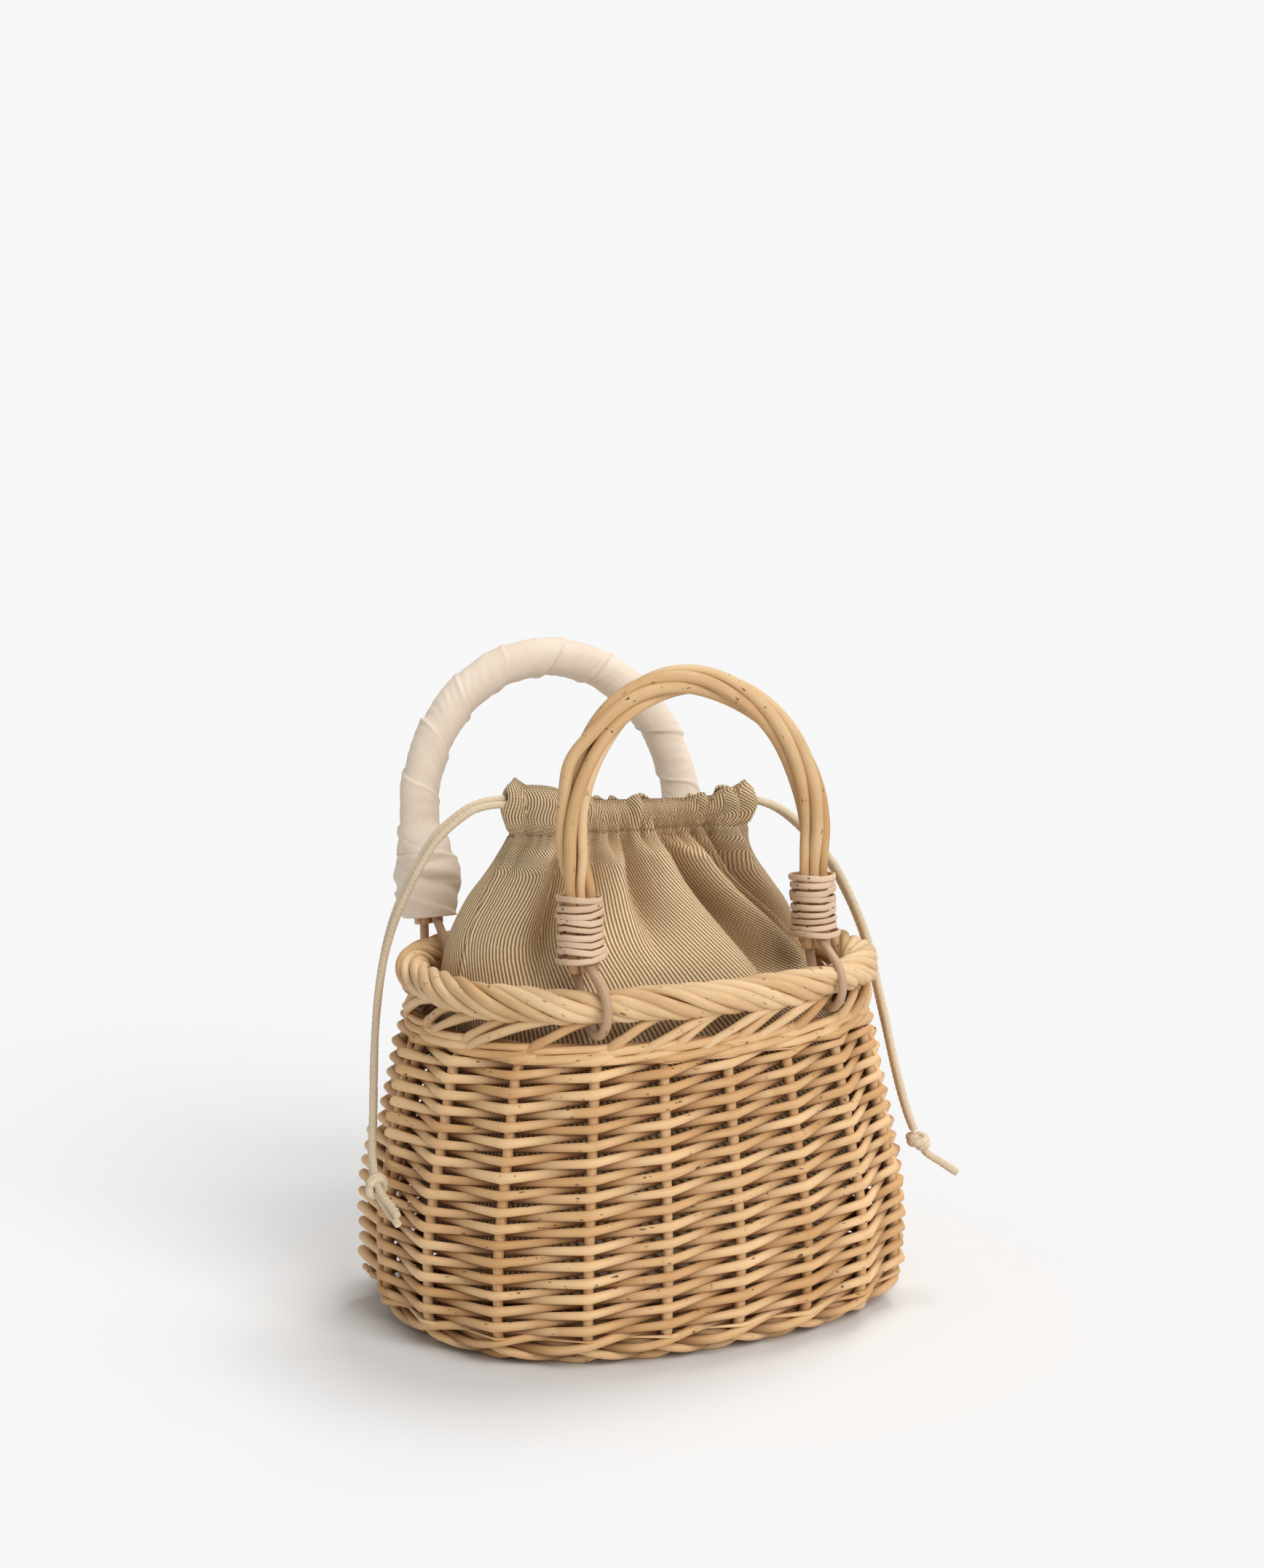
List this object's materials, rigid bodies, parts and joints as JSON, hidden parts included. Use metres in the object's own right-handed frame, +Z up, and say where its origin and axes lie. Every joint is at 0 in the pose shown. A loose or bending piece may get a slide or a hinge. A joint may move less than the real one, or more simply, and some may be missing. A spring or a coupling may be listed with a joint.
{
  "type": "straw basket bag",
  "caption": "Small oval wicker basket handbag with two swinging hoop handles and a cloth drawstring pouch standing up out of it.",
  "frame": {"origin": "middle of the flat underside of the woven base, on the surface that the bag stands on", "axes": "+X along the basket to its right end, +Y towards the back handle, which is the cloth-wrapped one, +Z up"},
  "size_m": [0.2532, 0.1854, 0.2725],
  "materials": {
    "willow": "peeled willow rods, satin",
    "border": "thick peeled willow rods, satin",
    "handle": "twisted peeled willow rods, satin",
    "skein": "split willow skein, satin",
    "twill": "cotton twill, matt",
    "wrap": "plain cotton, matt",
    "cord": "braided cotton cord, matt"
  },
  "bodies": {
    "basket": {"base_weave": "willow", "foot_wale": "willow", "side_wall": "willow", "upper_wale": "willow", "rim_border": "border", "pouch": "twill", "cord_left_front": "cord", "cord_left_back": "cord", "knot_left": "cord", "cord_right_front": "cord", "cord_right_back": "cord", "knot_right": "cord"},
    "front_handle": {"front_handle": "handle", "binding_front_left": "skein", "binding_front_right": "skein", "loop_front_left": "handle", "loop_front_right": "handle"},
    "back_handle": {"back_handle": "handle", "handle_wrap": "wrap", "binding_back_left": "skein", "binding_back_right": "skein", "loop_back_left": "handle", "loop_back_right": "handle"}
  },
  "joints": [
    {"name": "front_handle_swing", "type": "hinge", "parent": "basket", "child": "front_handle", "pos_m": [0, -0.06702, 0.14295], "axis": [1, 0, 0], "range_deg": [-10, 140]},
    {"name": "back_handle_swing", "type": "hinge", "parent": "basket", "child": "back_handle", "pos_m": [-0.003, 0.06211, 0.14295], "axis": [-0.9996, -0.0283, 0], "range_deg": [-20, 100]}
  ]
}
